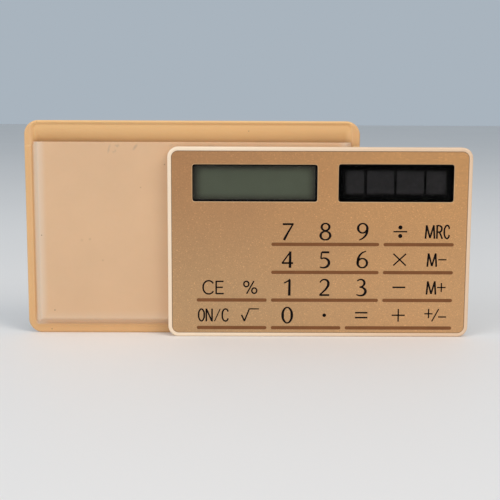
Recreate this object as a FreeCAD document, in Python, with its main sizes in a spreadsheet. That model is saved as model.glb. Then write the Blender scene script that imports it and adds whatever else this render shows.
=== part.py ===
"""Card-sized solar calculator standing on its long edge, with its vinyl slip case behind it.

Row frame: X along the long edge, Y away from the face, Z up. The origin is the middle of
the bottom edge. Every piece of the calculator is drawn lying on its back (x along the long
edge, y up the card, z from the back towards the face) and its Placement stands it up.
All sizes are millimetres.
"""
import math
import os

import FreeCAD
import Part
import Sketcher

doc = FreeCAD.newDocument("card_calculator")

# Driving dimensions: name, value, what it is.
DIMENSIONS = [
    ("card_width", 85.6, "standard card, long side"),
    ("card_height", 54.0, "standard card, short side"),
    ("card_thickness", 3.0, "back of the rim to front of the rim"),
    ("card_corner", 3.0, "outer corner radius"),
    ("rim_width", 1.2, "wall of the frame round the face and back sheets"),
    ("rim_round", 0.5, "rounding of the outer edges of the rim"),
    ("face_corner", 1.8, "corner radius of the face and back sheets"),
    ("ledge_width", 1.0, "shelf inside the frame that carries the sheets"),
    ("sheet_recess", 0.1, "sheets lie this far below the rim"),
    ("sheet_fit", 0.05, "gap between a sheet and the wall round it"),
    ("back_cover_thickness", 0.4, "metal back plate"),
    ("film_thickness", 0.2, "printed face sheet"),
    ("adhesive_thickness", 0.05, "glue sheet under the face"),
    ("deck_thickness", 0.5, "stiff plate under the face"),
    ("insulator_thickness", 0.05, "film between board and back plate"),
    ("board_thickness", 0.35, "circuit board"),
    ("board_fit", 0.2, "gap between board and ledge, and round the glass"),
    ("window_top_margin", 3.95, "face edge down to the windows"),
    ("window_height", 10.15, "both windows"),
    ("window_corner", 0.7, "corner radius of both windows"),
    ("display_left_margin", 5.9, "face edge to display window"),
    ("window_gap", 6.3, "face left between the two windows"),
    ("solar_window_width", 32.0, "window over the cells"),
    ("solar_right_margin", 4.1, "face edge to solar window"),
    ("lens_overlap", 0.7, "lens under the face, each side of its window"),
    ("key_left_margin", 7.09, "face edge to first key column"),
    ("key_right_margin", 3.69, "face edge to last key column"),
    ("key_bottom_margin", 2.05, "face edge to lowest key row"),
    ("key_band", 5.4, "plain face between top key row and the windows"),
    ("key_space_across", 1.55, "between keys in a row"),
    ("key_space_up", 2.02, "between rows"),
    ("key_corner", 1.0, "corner radius of a touch zone"),
    ("key_gap", 0.08, "slit round each touch zone"),
    ("deck_clearance", 0.1, "deck hole outside the face slit"),
    ("key_travel", 0.28, "press of a key"),
    ("contact_clearance", 0.02, "left under a pill at full travel"),
    ("pill_radius", 1.5, "rubber pill under each touch zone"),
    ("pad_radius", 2.0, "contact pad on the board"),
    ("pad_thickness", 0.03, "printed carbon"),
    ("pad_slit", 0.4, "between the two halves of a pad"),
    ("guide_clearance", 0.25, "hole of the key guide outside a pad"),
    ("guide_margin", 1.0, "key guide outside the touch zones"),
    ("guide_corner", 1.5, "corner radius of the key guide"),
    ("bar_thickness", 0.04, "printed bar under each group of keys"),
    ("bar_height", 0.95, "width of the bar's line"),
    ("bar_round", 0.45, "end radius of a bar"),
    ("bar_drop", 0.65, "bar's middle below the touch zones"),
    ("bar_overhang", 0.15, "bar past its keys at each end"),
    ("polariser_thickness", 0.12, "each polariser"),
    ("polariser_border", 1.0, "polariser outside the window"),
    ("glass_thickness", 0.45, "each glass of the display"),
    ("glass_side", 1.8, "display glass outside the window, left and right"),
    ("glass_end", 1.3, "display glass outside the window, top and bottom"),
    ("glass_corner", 0.3, "corner radius of glass and polarisers"),
    ("contact_ledge", 1.7, "front glass past the rear glass"),
    ("connector_width", 1.2, "rubber connector under the ledge"),
    ("connector_inset", 1.0, "connector shorter than the glass at each end"),
    ("cell_count", 4, "solar cells in a row"),
    ("cell_gap", 0.3, "between cells"),
    ("cell_shift", -0.4, "cells to the side of their window's middle"),
    ("cell_thickness", 0.05, "silicon and metal on the back of the glass"),
    ("cell_inset_end", 0.5, "cells inside the glass edge, top and bottom"),
    ("cell_inset_side", 0.35, "cells inside the glass edge, left and right"),
    ("solar_glass_thickness", 0.7, "glass that carries the cells"),
    ("solar_glass_side", 1.1, "solar glass outside its window, left and right"),
    ("solar_glass_end", 1.0, "solar glass outside its window, top and bottom"),
    ("solar_pad_thickness", 0.2, "foam between cells and board"),
    ("solar_pad_inset", 2.4, "foam inside the glass, left and right"),
    ("solar_contact_width", 1.4, "rubber contact at each end of the cells"),
    ("solar_contact_length", 8.0, "up the card"),
    ("solar_contact_inset", 0.6, "contact inside the glass edge"),
    ("chip_cap_radius", 4.5, "resin blob over the processor"),
    ("chip_cap_height", 0.9, "top of the blob above the board"),
    ("chip_left", 17.0, "middle of the blob from the face's left edge"),
    ("chip_drop", 8.5, "parts level, below the display's contact ledge"),
    ("small_part_length", 1.6, "chip capacitor and resistor, long side"),
    ("small_part_width", 0.8, "chip capacitor and resistor, short side"),
    ("capacitor_height", 0.7, "chip capacitor"),
    ("resistor_height", 0.45, "chip resistor"),
    ("small_part_pitch", 3.0, "between chip parts in a column"),
    ("capacitor_left", 5.0, "capacitor column from the face's left edge"),
    ("resistor_left", 8.5, "resistor column from the face's left edge"),
    ("diode_left", 24.2, "voltage limiting diode from the face's left edge"),
    ("diode_length", 2.0, "diode body, up the card"),
    ("diode_width", 1.3, "diode body, across the card"),
    ("diode_height", 0.9, "diode body above the board"),
    ("case_sheet", 0.5, "vinyl sheet"),
    ("case_corner", 4.0, "outer corner radius of the case"),
    ("pocket_corner", 1.5, "corner radius of the formed pocket"),
    ("case_border", 2.25, "weld left and right of the pocket"),
    ("case_border_bottom", 2.6, "weld below the pocket"),
    ("case_border_top", 0.7, "flat strip above the back panel's hollow"),
    ("case_slope", 2.0, "width of the pocket's sloping sides"),
    ("case_slope_top", 1.6, "width of the back panel's slope at the top"),
    ("case_side_clearance", 0.45, "pocket beside the calculator"),
    ("case_end_clearance", 0.1, "pocket above and below the calculator"),
    ("case_face_clearance", 0.2, "pocket in front of and behind the calculator"),
    ("case_mouth_drop", 6.0, "front panel's mouth below the back panel's top"),
    ("case_gap", 0.3, "between the calculator's back and the case"),
    ("case_offset", -36.0, "case's middle beside the calculator's middle"),
]

sheet = doc.addObject("Spreadsheet::Sheet", "Sheet")
for line, (alias, value, meaning) in enumerate(DIMENSIONS, start=1):
    sheet.set(f"A{line}", alias)
    sheet.set(f"B{line}", str(value))
    sheet.set(f"C{line}", meaning)
    sheet.setAlias(f"B{line}", alias)
doc.recompute()

# Places worked out from the driving dimensions, as expressions on the sheet.
FACE_WIDTH = "(Sheet.card_width - 2 * Sheet.rim_width)"
FACE_HEIGHT = "(Sheet.card_height - 2 * Sheet.rim_width)"
FACE_LEFT = f"(-{FACE_WIDTH} / 2)"
FACE_TOP = "(Sheet.card_height - Sheet.rim_width)"
MIDDLE_UP = "(Sheet.card_height / 2)"

BACK_TOP = "(Sheet.sheet_recess + Sheet.back_cover_thickness)"
BOARD_BOTTOM = f"({BACK_TOP} + Sheet.insulator_thickness)"
BOARD_TOP = f"({BOARD_BOTTOM} + Sheet.board_thickness)"
FILM_TOP = "(Sheet.card_thickness - Sheet.sheet_recess)"
FILM_BOTTOM = f"({FILM_TOP} - Sheet.film_thickness)"
DECK_TOP = f"({FILM_BOTTOM} - Sheet.adhesive_thickness)"
DECK_BOTTOM = f"({DECK_TOP} - Sheet.deck_thickness)"

WINDOW_UP = f"({FACE_TOP} - Sheet.window_top_margin - Sheet.window_height / 2)"
DISPLAY_WIDTH = (f"({FACE_WIDTH} - Sheet.display_left_margin - Sheet.window_gap"
                 " - Sheet.solar_window_width - Sheet.solar_right_margin)")
DISPLAY_X = f"({FACE_LEFT} + Sheet.display_left_margin + {DISPLAY_WIDTH} / 2)"
SOLAR_X = f"({FACE_WIDTH} / 2 - Sheet.solar_right_margin - Sheet.solar_window_width / 2)"
CELLS_X = f"({SOLAR_X} + Sheet.cell_shift)"

# Keys from the bottom row up; None is plain face beside the two upper rows.
KEY_ROWS = [
    ["key_on_clear", "key_square_root", "key_0", "key_decimal", "key_equals", "key_plus",
     "key_sign_change"],
    ["key_clear_entry", "key_percent", "key_1", "key_2", "key_3", "key_minus", "key_memory_plus"],
    [None, None, "key_4", "key_5", "key_6", "key_multiply", "key_memory_minus"],
    [None, None, "key_7", "key_8", "key_9", "key_divide", "key_memory_recall"],
]
COLUMN_COUNT = len(KEY_ROWS[0])
ROW_COUNT = len(KEY_ROWS)

PITCH_ACROSS = (f"(({FACE_WIDTH} - Sheet.key_left_margin - Sheet.key_right_margin"
                f" + Sheet.key_space_across) / {COLUMN_COUNT})")
PITCH_UP = (f"(({FACE_HEIGHT} - Sheet.window_top_margin - Sheet.window_height - Sheet.key_band"
            f" - Sheet.key_bottom_margin + Sheet.key_space_up) / {ROW_COUNT})")
KEY_WIDTH = f"({PITCH_ACROSS} - Sheet.key_space_across)"
KEY_HEIGHT = f"({PITCH_UP} - Sheet.key_space_up)"
KEYS_LEFT = f"({FACE_LEFT} + Sheet.key_left_margin)"
KEYS_BOTTOM = "(Sheet.rim_width + Sheet.key_bottom_margin)"

# Blocks of keys that a pattern fills: first column, first row, columns, rows.
KEY_BLOCKS = [(0, 0, COLUMN_COUNT, 2), (2, 2, COLUMN_COUNT - 2, 2)]
# Printed bars: row, first column, columns above the bar.
KEY_BARS = [(0, 0, 2), (0, 2, 2), (0, 4, 3), (1, 0, 2), (1, 2, 3), (1, 5, 2),
            (2, 2, 3), (2, 5, 2), (3, 2, 3), (3, 5, 2)]

STANDING = FreeCAD.Rotation(FreeCAD.Vector(1, 0, 0), 90)
sub_parts = []


def column_x(column):
    """Middle of a key column, across the card."""
    return f"({KEYS_LEFT} + {KEY_WIDTH} / 2 + {column} * {PITCH_ACROSS})"


def row_up(row):
    """Middle of a key row, up the card."""
    return f"({KEYS_BOTTOM} + {KEY_HEIGHT} / 2 + {row} * {PITCH_UP})"


def stand_up(piece, x="0", y="Sheet.card_thickness / 2", z="0"):
    """Turn a piece drawn on its back upright and put it at its place in the row frame."""
    piece.Placement = FreeCAD.Placement(FreeCAD.Vector(0, 0, 0), STANDING)
    piece.setExpression(".Placement.Base.x", x)
    piece.setExpression(".Placement.Base.y", y)
    piece.setExpression(".Placement.Base.z", z)
    sub_parts.append(piece)


def origin_feature(body, role):
    """One of the body's own origin planes or axes."""
    return next(feature for feature in body.Origin.OriginFeatures if feature.Role == role)


def new_body(label):
    body = doc.addObject("PartDesign::Body", label)
    body.Label = label
    return body


def new_sketch(body, x="0", y="0", z="0"):
    """A sketch on the body's XY plane, moved to the given place."""
    sketch = body.newObject("Sketcher::SketchObject", body.Name + "_sketch")
    sketch.AttachmentSupport = (origin_feature(body, "XY_Plane"), [""])
    sketch.MapMode = "FlatFace"
    sketch.setExpression(".AttachmentOffset.Base.x", x)
    sketch.setExpression(".AttachmentOffset.Base.y", y)
    sketch.setExpression(".AttachmentOffset.Base.z", z)
    return sketch


def bind(sketch, constraint, expression):
    """Add a sizing constraint and tie it to the sheet."""
    index = sketch.addConstraint(constraint)
    sketch.setExpression(f"Constraints[{index}]", expression)


def draw_rounded_rectangle(sketch, width, height, radius):
    """Centred on the sketch's origin: four sides and four corner arcs."""
    half_x = float(sketch.evalExpression(width)) / 2
    half_y = float(sketch.evalExpression(height)) / 2
    corner = float(sketch.evalExpression(radius))
    inner_x = half_x - corner
    inner_y = half_y - corner
    vector = FreeCAD.Vector
    sides = [
        (vector(-inner_x, -half_y), vector(inner_x, -half_y)),
        (vector(half_x, -inner_y), vector(half_x, inner_y)),
        (vector(inner_x, half_y), vector(-inner_x, half_y)),
        (vector(-half_x, inner_y), vector(-half_x, -inner_y)),
    ]
    centres = [
        vector(inner_x, -inner_y),
        vector(inner_x, inner_y),
        vector(-inner_x, inner_y),
        vector(-inner_x, -inner_y),
    ]
    quarter = math.pi / 2
    for side in range(4):
        sketch.addGeometry(Part.LineSegment(*sides[side]))
        circle = Part.Circle(centres[side], vector(0, 0, 1), corner)
        start = (side - 1) * quarter
        sketch.addGeometry(Part.ArcOfCircle(circle, start, start + quarter))
    for index in range(8):
        sketch.addConstraint(Sketcher.Constraint("Tangent", index, 2, (index + 1) % 8, 1))
    for index, direction in ((0, "Horizontal"), (2, "Vertical"), (4, "Horizontal"), (6, "Vertical")):
        sketch.addConstraint(Sketcher.Constraint(direction, index))
    for index in (3, 5, 7):
        sketch.addConstraint(Sketcher.Constraint("Equal", 1, index))
    sketch.addConstraint(Sketcher.Constraint("Symmetric", 0, 1, 4, 1, -1, 1))
    bind(sketch, Sketcher.Constraint("Radius", 1, corner), radius)
    bind(sketch, Sketcher.Constraint("DistanceX", 6, 2, 2, 1, 2 * half_x), width)
    bind(sketch, Sketcher.Constraint("DistanceY", 0, 1, 4, 2, 2 * half_y), height)


def draw_circle(sketch, radius):
    """Centred on the sketch's origin."""
    size = float(sketch.evalExpression(radius))
    circle = Part.Circle(FreeCAD.Vector(0, 0, 0), FreeCAD.Vector(0, 0, 1), size)
    sketch.addGeometry(circle)
    sketch.addConstraint(Sketcher.Constraint("Coincident", 0, 3, -1, 1))
    bind(sketch, Sketcher.Constraint("Radius", 0, size), radius)


def pad(body, sketch, length, downwards=False):
    feature = body.newObject("PartDesign::Pad", body.Name + "_pad")
    feature.Profile = sketch
    feature.Reversed = downwards
    feature.setExpression("Length", length)
    body.Tip = feature
    return feature


def pocket(body, sketch, length):
    """Cut upwards (+z) from the sketch."""
    feature = body.newObject("PartDesign::Pocket", body.Name + "_pocket")
    feature.Profile = sketch
    feature.Reversed = True
    feature.setExpression("Length", length)
    body.Tip = feature
    return feature


def pattern(body, feature, columns, rows, across=PITCH_ACROSS, up=PITCH_UP):
    """Repeat a feature in columns across the card and rows up it."""
    copies = body.newObject("PartDesign::MultiTransform", body.Name + "_pattern")
    copies.Originals = [feature]
    steps = []
    for role, pitch, count in (("X_Axis", across, columns), ("Y_Axis", up, rows)):
        step = body.newObject("PartDesign::LinearPattern", body.Name + "_step")
        step.Direction = (origin_feature(body, role), [""])
        step.Mode = "Spacing"
        step.setExpression("Offset", pitch)
        step.Occurrences = count
        steps.append(step)
    copies.Transformations = steps
    body.Tip = copies
    return copies


def plate(label, size, centre, bottom, thickness, corner):
    """A flat piece with rounded corners: a body with one pad."""
    body = new_body(label)
    sketch = new_sketch(body, centre[0], centre[1], bottom)
    draw_rounded_rectangle(sketch, size[0], size[1], corner)
    pad(body, sketch, thickness)
    return body


def cut_window(body, size, centre, bottom, thickness, corner):
    """A rounded opening through a flat piece."""
    sketch = new_sketch(body, centre[0], centre[1], bottom)
    draw_rounded_rectangle(sketch, size[0], size[1], corner)
    pocket(body, sketch, thickness)


def cut_key_holes(body, clearance, bottom, thickness):
    """Openings for all touch zones, the clearance wider on every side."""
    for column, row, columns, rows in KEY_BLOCKS:
        sketch = new_sketch(body, column_x(column), row_up(row), bottom)
        draw_rounded_rectangle(sketch, f"{KEY_WIDTH} + 2 * {clearance}",
                               f"{KEY_HEIGHT} + 2 * {clearance}",
                               f"Sheet.key_corner + {clearance}")
        pattern(body, pocket(body, sketch, thickness), columns, rows)


def make_frame():
    """Moulded rim with a shelf inside for the back plate and the key deck."""
    body = plate("frame", ("Sheet.card_width", "Sheet.card_height"), ("0", MIDDLE_UP), "0",
                 "Sheet.card_thickness", "Sheet.card_corner")
    doc.recompute()
    solid = body.Tip
    thickness = float(sheet.get("card_thickness"))
    outer = []
    for index, edge in enumerate(solid.Shape.Edges, start=1):
        height = edge.CenterOfMass.z
        if min(abs(height), abs(height - thickness)) < 1e-6:
            outer.append(f"Edge{index}")
    rounding = body.newObject("PartDesign::Fillet", "frame_rounding")
    rounding.Base = (solid, outer)
    rounding.setExpression("Radius", "Sheet.rim_round")
    body.Tip = rounding
    cut_window(body, (f"{FACE_WIDTH} - 2 * Sheet.ledge_width", f"{FACE_HEIGHT} - 2 * Sheet.ledge_width"),
               ("0", MIDDLE_UP), "0", "Sheet.card_thickness", "Sheet.face_corner")
    cut_window(body, (FACE_WIDTH, FACE_HEIGHT), ("0", MIDDLE_UP), "0", BACK_TOP, "Sheet.face_corner")
    cut_window(body, (FACE_WIDTH, FACE_HEIGHT), ("0", MIDDLE_UP), DECK_BOTTOM,
               f"Sheet.card_thickness - {DECK_BOTTOM}", "Sheet.face_corner")
    stand_up(body)


def sheet_outline():
    """Size of a sheet that drops into the frame."""
    return (f"{FACE_WIDTH} - 2 * Sheet.sheet_fit", f"{FACE_HEIGHT} - 2 * Sheet.sheet_fit")


def make_back_cover():
    stand_up(plate("back_cover", sheet_outline(), ("0", MIDDLE_UP), "Sheet.sheet_recess",
                   "Sheet.back_cover_thickness", "Sheet.face_corner"))


def window_size(width, border):
    """A window's outline with the same border on all sides."""
    return (f"{width} + 2 * {border}", f"Sheet.window_height + 2 * {border}")


def cut_both_windows(body, border, bottom, thickness):
    """Openings for the display and the cells, the border wider than the windows."""
    for width, x in ((DISPLAY_WIDTH, DISPLAY_X), ("Sheet.solar_window_width", SOLAR_X)):
        cut_window(body, window_size(width, border), (x, WINDOW_UP), bottom, thickness,
                   "Sheet.window_corner")


def make_face():
    """The face sheet, the glue under it and the stiff deck under both."""
    film = plate("face_film", sheet_outline(), ("0", MIDDLE_UP), FILM_BOTTOM,
                 "Sheet.film_thickness", "Sheet.face_corner")
    cut_both_windows(film, "0", FILM_BOTTOM, "Sheet.film_thickness")
    cut_key_holes(film, "Sheet.key_gap", FILM_BOTTOM, "Sheet.film_thickness")
    stand_up(film)
    glue = plate("face_adhesive", sheet_outline(), ("0", MIDDLE_UP), DECK_TOP,
                 "Sheet.adhesive_thickness", "Sheet.face_corner")
    cut_both_windows(glue, "0", DECK_TOP, "Sheet.adhesive_thickness")
    cut_key_holes(glue, "(Sheet.key_gap + Sheet.deck_clearance)", DECK_TOP, "Sheet.adhesive_thickness")
    stand_up(glue)
    deck = plate("key_deck", sheet_outline(), ("0", MIDDLE_UP), DECK_BOTTOM,
                 "Sheet.deck_thickness", "Sheet.face_corner")
    cut_both_windows(deck, "(Sheet.lens_overlap + Sheet.sheet_fit)", DECK_BOTTOM, "Sheet.deck_thickness")
    cut_key_holes(deck, "(Sheet.key_gap + Sheet.deck_clearance)", DECK_BOTTOM, "Sheet.deck_thickness")
    stand_up(deck)


def make_bars():
    """Printed bars under the groups of keys, one piece each."""
    body = new_body("key_row_bars")
    for row, column, columns in KEY_BARS:
        length = (f"{columns} * {PITCH_ACROSS} - Sheet.key_space_across"
                  " + 2 * Sheet.bar_overhang")
        middle = f"{column_x(column)} + {(columns - 1) / 2} * {PITCH_ACROSS}"
        sketch = new_sketch(body, middle, f"{row_up(row)} - {KEY_HEIGHT} / 2 - Sheet.bar_drop", FILM_TOP)
        draw_rounded_rectangle(sketch, length, "Sheet.bar_height", "Sheet.bar_round")
        pad(body, sketch, "Sheet.bar_thickness")
    stand_up(body)


def make_board():
    """Circuit board with an opening for the display, and the film under it."""
    board_size = (f"{FACE_WIDTH} - 2 * (Sheet.ledge_width + Sheet.board_fit)",
                  f"{FACE_HEIGHT} - 2 * (Sheet.ledge_width + Sheet.board_fit)")
    stand_up(plate("insulating_sheet", board_size, ("0", MIDDLE_UP), BACK_TOP,
                   "Sheet.insulator_thickness", "Sheet.face_corner"))
    board = plate("circuit_board", board_size, ("0", MIDDLE_UP), BOARD_BOTTOM,
                  "Sheet.board_thickness", "Sheet.face_corner")
    cut_window(board, (f"{DISPLAY_WIDTH} + 2 * (Sheet.glass_side + Sheet.board_fit)",
                       "Sheet.window_height + 2 * (Sheet.glass_end + Sheet.board_fit)"),
               (DISPLAY_X, WINDOW_UP), BOARD_BOTTOM, "Sheet.board_thickness", "Sheet.glass_corner")
    stand_up(board)


def make_key_contacts():
    """A split carbon pad on the board under every key."""
    body = new_body("key_contacts")
    for column, row, columns, rows in KEY_BLOCKS:
        sketch = new_sketch(body, column_x(column), row_up(row), BOARD_TOP)
        draw_circle(sketch, "Sheet.pad_radius")
        pattern(body, pad(body, sketch, "Sheet.pad_thickness"), columns, rows)
    slit = new_sketch(body, column_x(0), f"{row_up(0)} + {(ROW_COUNT - 1) / 2} * {PITCH_UP}", BOARD_TOP)
    draw_rounded_rectangle(slit, "Sheet.pad_slit", f"{ROW_COUNT} * {PITCH_UP}", "Sheet.pad_slit / 4")
    pattern(body, pocket(body, slit, "Sheet.pad_thickness"), COLUMN_COUNT, 1)
    stand_up(body)


def make_key_guide():
    """Moulded plate between board and deck; the pills move in its holes."""
    body = new_body("key_guide")
    height = f"{DECK_BOTTOM} - {BOARD_TOP}"
    for column, row, columns, rows in KEY_BLOCKS:
        rows_from_bottom = row + rows
        middle_x = f"{column_x(column)} + {(columns - 1) / 2} * {PITCH_ACROSS}"
        middle_up = f"{row_up(0)} + {(rows_from_bottom - 1) / 2} * {PITCH_UP}"
        width = f"{columns} * {PITCH_ACROSS} - Sheet.key_space_across + 2 * Sheet.guide_margin"
        length = f"{rows_from_bottom} * {PITCH_UP} - Sheet.key_space_up + 2 * Sheet.guide_margin"
        sketch = new_sketch(body, middle_x, middle_up, BOARD_TOP)
        draw_rounded_rectangle(sketch, width, length, "Sheet.guide_corner")
        pad(body, sketch, height)
    for column, row, columns, rows in KEY_BLOCKS:
        sketch = new_sketch(body, column_x(column), row_up(row), BOARD_TOP)
        draw_circle(sketch, "Sheet.pad_radius + Sheet.guide_clearance")
        pattern(body, pocket(body, sketch, height), columns, rows)
    stand_up(body)


def make_keys():
    """A touch zone of the face with the rubber pill glued under it, for every key."""
    pill_bottom = f"({BOARD_TOP} + Sheet.pad_thickness + Sheet.contact_clearance + Sheet.key_travel)"
    for row, names in enumerate(KEY_ROWS):
        for column, name in enumerate(names):
            if name is None:
                continue
            body = new_body(name)
            zone = new_sketch(body, z=FILM_BOTTOM)
            draw_rounded_rectangle(zone, KEY_WIDTH, KEY_HEIGHT, "Sheet.key_corner")
            pad(body, zone, "Sheet.film_thickness")
            pill = new_sketch(body, z=pill_bottom)
            draw_circle(pill, "Sheet.pill_radius")
            pad(body, pill, f"{FILM_BOTTOM} - {pill_bottom}")
            stand_up(body, x=column_x(column), z=row_up(row))


def make_display():
    """Liquid crystal cell of two glasses between polarisers, its connector, seal and lens."""
    glass_size = (f"{DISPLAY_WIDTH} + 2 * Sheet.glass_side",
                  "Sheet.window_height + 2 * Sheet.glass_end")
    polariser_size = window_size(DISPLAY_WIDTH, "Sheet.polariser_border")
    centre = (DISPLAY_X, WINDOW_UP)
    rear_glass = f"({BOARD_BOTTOM} + Sheet.polariser_thickness)"
    front_glass = f"({rear_glass} + Sheet.glass_thickness)"
    front_polariser = f"({front_glass} + Sheet.glass_thickness)"
    gasket = f"({front_polariser} + Sheet.polariser_thickness)"
    glass_bottom = f"({WINDOW_UP} - Sheet.window_height / 2 - Sheet.glass_end)"
    stand_up(plate("lcd_rear_polariser", polariser_size, centre, BOARD_BOTTOM,
                   "Sheet.polariser_thickness", "Sheet.glass_corner"))
    stand_up(plate("lcd_rear_glass", glass_size, centre, rear_glass,
                   "Sheet.glass_thickness", "Sheet.glass_corner"))
    stand_up(plate("lcd_front_glass", (glass_size[0], f"{glass_size[1]} + Sheet.contact_ledge"),
                   (DISPLAY_X, f"{WINDOW_UP} - Sheet.contact_ledge / 2"), front_glass,
                   "Sheet.glass_thickness", "Sheet.glass_corner"))
    stand_up(plate("lcd_front_polariser", polariser_size, centre, front_polariser,
                   "Sheet.polariser_thickness", "Sheet.glass_corner"))
    stand_up(plate("lcd_connector",
                   (f"{glass_size[0]} - 2 * Sheet.connector_inset", "Sheet.connector_width"),
                   (DISPLAY_X, f"{glass_bottom} - Sheet.contact_ledge / 2"), BOARD_TOP,
                   f"{front_glass} - {BOARD_TOP}", "Sheet.glass_corner"))
    make_window_parts("display", DISPLAY_WIDTH, DISPLAY_X, gasket)


def make_window_parts(name, width, x, gasket_bottom):
    """The clear lens in the deck and the black foam frame that seals it to what is below."""
    outline = window_size(width, "Sheet.lens_overlap")
    stand_up(plate(name + "_lens", outline, (x, WINDOW_UP), DECK_BOTTOM,
                   "Sheet.deck_thickness", "Sheet.window_corner"))
    height = f"{DECK_BOTTOM} - {gasket_bottom}"
    gasket = plate(name + "_gasket", outline, (x, WINDOW_UP), gasket_bottom, height,
                   "Sheet.window_corner")
    cut_window(gasket, (width, "Sheet.window_height"), (x, WINDOW_UP), gasket_bottom, height,
               "Sheet.window_corner")
    stand_up(gasket)


def make_solar():
    """Glass with the cells on its back, on a foam pad and two rubber contacts."""
    glass_width = "(Sheet.solar_window_width + 2 * Sheet.solar_glass_side)"
    glass_height = "(Sheet.window_height + 2 * Sheet.solar_glass_end)"
    cell_pitch = (f"(({glass_width} - 2 * Sheet.cell_inset_side + Sheet.cell_gap)"
                  " / Sheet.cell_count)")
    cells = f"({BOARD_TOP} + Sheet.solar_pad_thickness)"
    glass = f"({cells} + Sheet.cell_thickness)"
    stand_up(plate("solar_pad", (f"{glass_width} - 2 * Sheet.solar_pad_inset",
                                 "Sheet.window_height"),
                   (CELLS_X, WINDOW_UP), BOARD_TOP, "Sheet.solar_pad_thickness",
                   "Sheet.glass_corner"))
    contacts = new_body("solar_contacts")
    reach = f"({glass_width} / 2 - Sheet.solar_contact_inset - Sheet.solar_contact_width / 2)"
    for side in (-1, 1):
        sketch = new_sketch(contacts, f"{CELLS_X} + {side} * {reach}", WINDOW_UP, BOARD_TOP)
        draw_rounded_rectangle(sketch, "Sheet.solar_contact_width", "Sheet.solar_contact_length",
                               "Sheet.glass_corner")
        pad(contacts, sketch, "Sheet.solar_pad_thickness")
    stand_up(contacts)
    count = int(sheet.get("cell_count"))
    silicon = new_body("solar_cells")
    first = new_sketch(silicon, f"{CELLS_X} - (Sheet.cell_count - 1) / 2 * {cell_pitch}",
                       WINDOW_UP, cells)
    draw_rounded_rectangle(first, f"{cell_pitch} - Sheet.cell_gap",
                           f"{glass_height} - 2 * Sheet.cell_inset_end", "Sheet.cell_gap / 2")
    pattern(silicon, pad(silicon, first, "Sheet.cell_thickness"), count, 1, across=cell_pitch)
    stand_up(silicon)
    stand_up(plate("solar_glass", (glass_width, glass_height), (CELLS_X, WINDOW_UP), glass,
                   "Sheet.solar_glass_thickness", "Sheet.glass_corner"))
    make_window_parts("solar", "Sheet.solar_window_width", SOLAR_X,
                      f"({glass} + Sheet.solar_glass_thickness)")


def make_chips():
    """Resin blob over the processor, and the small parts soldered beside it."""
    level = (f"({WINDOW_UP} - Sheet.window_height / 2 - Sheet.glass_end"
             " - Sheet.contact_ledge - Sheet.chip_drop)")
    ball_radius = ("((Sheet.chip_cap_radius ^ 2 + Sheet.chip_cap_height ^ 2)"
                   " / (2 * Sheet.chip_cap_height))")
    chip_x = f"{FACE_LEFT} + Sheet.chip_left"
    ball = doc.addObject("Part::Sphere", "resin_ball")
    ball.setExpression("Radius", ball_radius)
    ball.setExpression(".Placement.Base.z", f"Sheet.chip_cap_height - {ball_radius}")
    disc = doc.addObject("Part::Cylinder", "resin_disc")
    disc.setExpression("Radius", "Sheet.chip_cap_radius")
    disc.setExpression("Height", "Sheet.chip_cap_height")
    blob = doc.addObject("Part::Common", "processor_cap")
    blob.Base = disc
    blob.Tool = ball
    blob.Label = "processor_cap"
    stand_up(blob, chip_x, f"Sheet.card_thickness / 2 - {BOARD_TOP}", level)

    for label, left, height, count in (("chip_capacitors", "capacitor_left", "capacitor_height", 3),
                                       ("chip_resistors", "resistor_left", "resistor_height", 2)):
        body = new_body(label)
        sketch = new_sketch(body, f"{FACE_LEFT} + Sheet.{left}",
                            f"{level} - {(count - 1) / 2} * Sheet.small_part_pitch", BOARD_TOP)
        draw_rounded_rectangle(sketch, "Sheet.small_part_length", "Sheet.small_part_width",
                               "Sheet.small_part_width / 8")
        pattern(body, pad(body, sketch, f"Sheet.{height}"), 1, count, up="Sheet.small_part_pitch")
        stand_up(body)
    stand_up(plate("clamp_diode", ("Sheet.diode_width", "Sheet.diode_length"),
                   (f"{FACE_LEFT} + Sheet.diode_left", level), BOARD_TOP,
                   "Sheet.diode_height", "Sheet.diode_width / 8"))


CASE_POCKET_WIDTH = "(Sheet.card_width + 2 * Sheet.case_side_clearance)"
CASE_WIDTH = f"({CASE_POCKET_WIDTH} + 2 * (Sheet.case_slope + Sheet.case_border))"
CASE_POCKET_HEIGHT = "(Sheet.card_height + 2 * Sheet.case_end_clearance)"
CASE_HEIGHT = (f"({CASE_POCKET_HEIGHT} + Sheet.case_border_bottom + Sheet.case_slope"
               " + Sheet.case_slope_top + Sheet.case_border_top)")
CASE_DEPTH = "(Sheet.card_thickness / 2 + Sheet.case_face_clearance)"
CASE_MOUTH = f"({CASE_HEIGHT} - Sheet.case_mouth_drop)"


def loft(body, kind, side, level):
    """Sloping pocket from its rim at the level to its floor, towards the given side."""
    rim_height = f"({CASE_POCKET_HEIGHT} + Sheet.case_slope + Sheet.case_slope_top)"
    rim = new_sketch(body, "0", f"Sheet.case_border_bottom + {rim_height} / 2", f"{side} * {level}")
    draw_rounded_rectangle(rim, f"{CASE_POCKET_WIDTH} + 2 * Sheet.case_slope", rim_height,
                           "Sheet.pocket_corner")
    floor = new_sketch(body, "0",
                       f"Sheet.case_border_bottom + Sheet.case_slope + {CASE_POCKET_HEIGHT} / 2",
                       f"{side} * ({level} + {CASE_DEPTH})")
    draw_rounded_rectangle(floor, CASE_POCKET_WIDTH, CASE_POCKET_HEIGHT, "Sheet.pocket_corner")
    feature = body.newObject(f"PartDesign::{kind}Loft", body.Name + "_loft")
    feature.Profile = rim
    feature.Sections = [floor]
    feature.Ruled = True
    body.Tip = feature


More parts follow.
